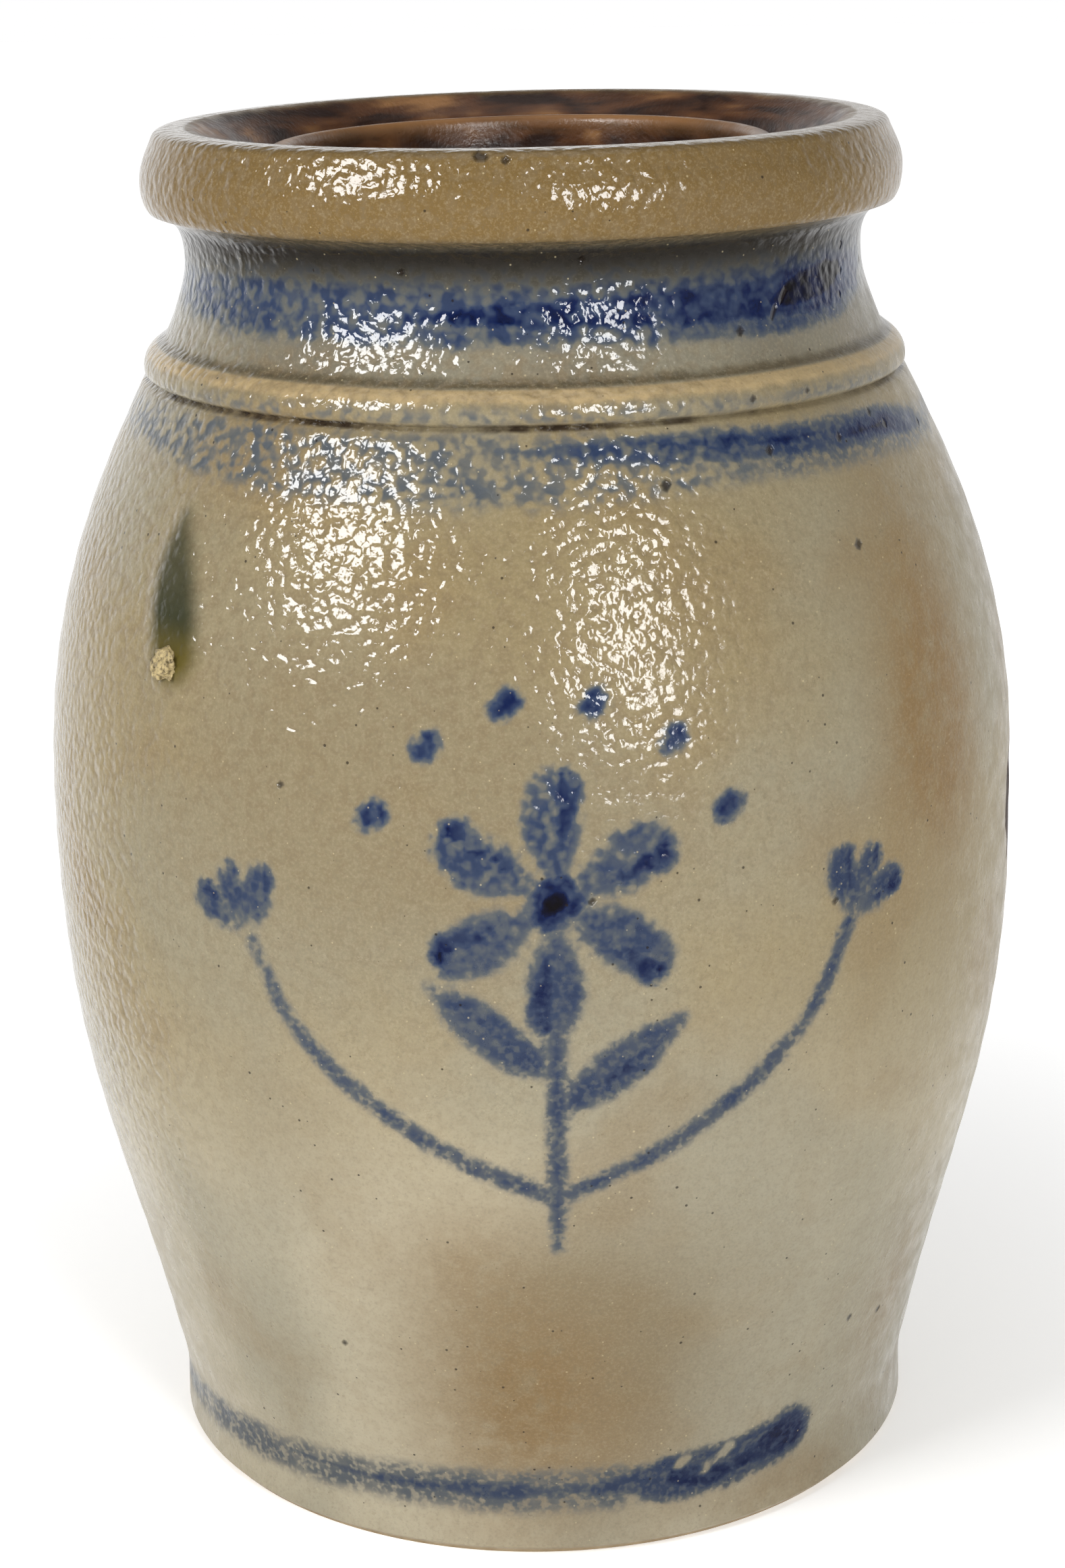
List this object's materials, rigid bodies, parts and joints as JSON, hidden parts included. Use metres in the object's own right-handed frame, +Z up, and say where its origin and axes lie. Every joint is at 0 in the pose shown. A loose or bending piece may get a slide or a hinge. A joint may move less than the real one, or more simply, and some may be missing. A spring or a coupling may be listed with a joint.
{
  "type": "fermenting crock",
  "caption": "Open ovoid stoneware crock with a rolled rim, a water-seal gutter round a raised throat ring, and half-moon weights inside.",
  "frame": {"origin": "centre of the base, on the surface the crock stands on", "axes": "+Z up the axis of the pot, through the centre of the mouth; -Y towards the decorated front"},
  "size_m": [0.221, 0.221, 0.305],
  "materials": {
    "salt_glazed_stoneware": "gloss",
    "bare_stoneware": "matte"
  },
  "bodies": {
    "crock": {"crock_body": "salt_glazed_stoneware"},
    "weight_left": {"weight_left": "bare_stoneware"},
    "weight_right": {"weight_right": "bare_stoneware"}
  },
  "joints": [
    {"name": "weight_left_lift", "type": "slide", "parent": "crock", "child": "weight_left", "axis": [0, 0, 1], "range_m": [0, 0.34]},
    {"name": "weight_right_lift", "type": "slide", "parent": "crock", "child": "weight_right", "axis": [0, 0, 1], "range_m": [0, 0.34]}
  ]
}
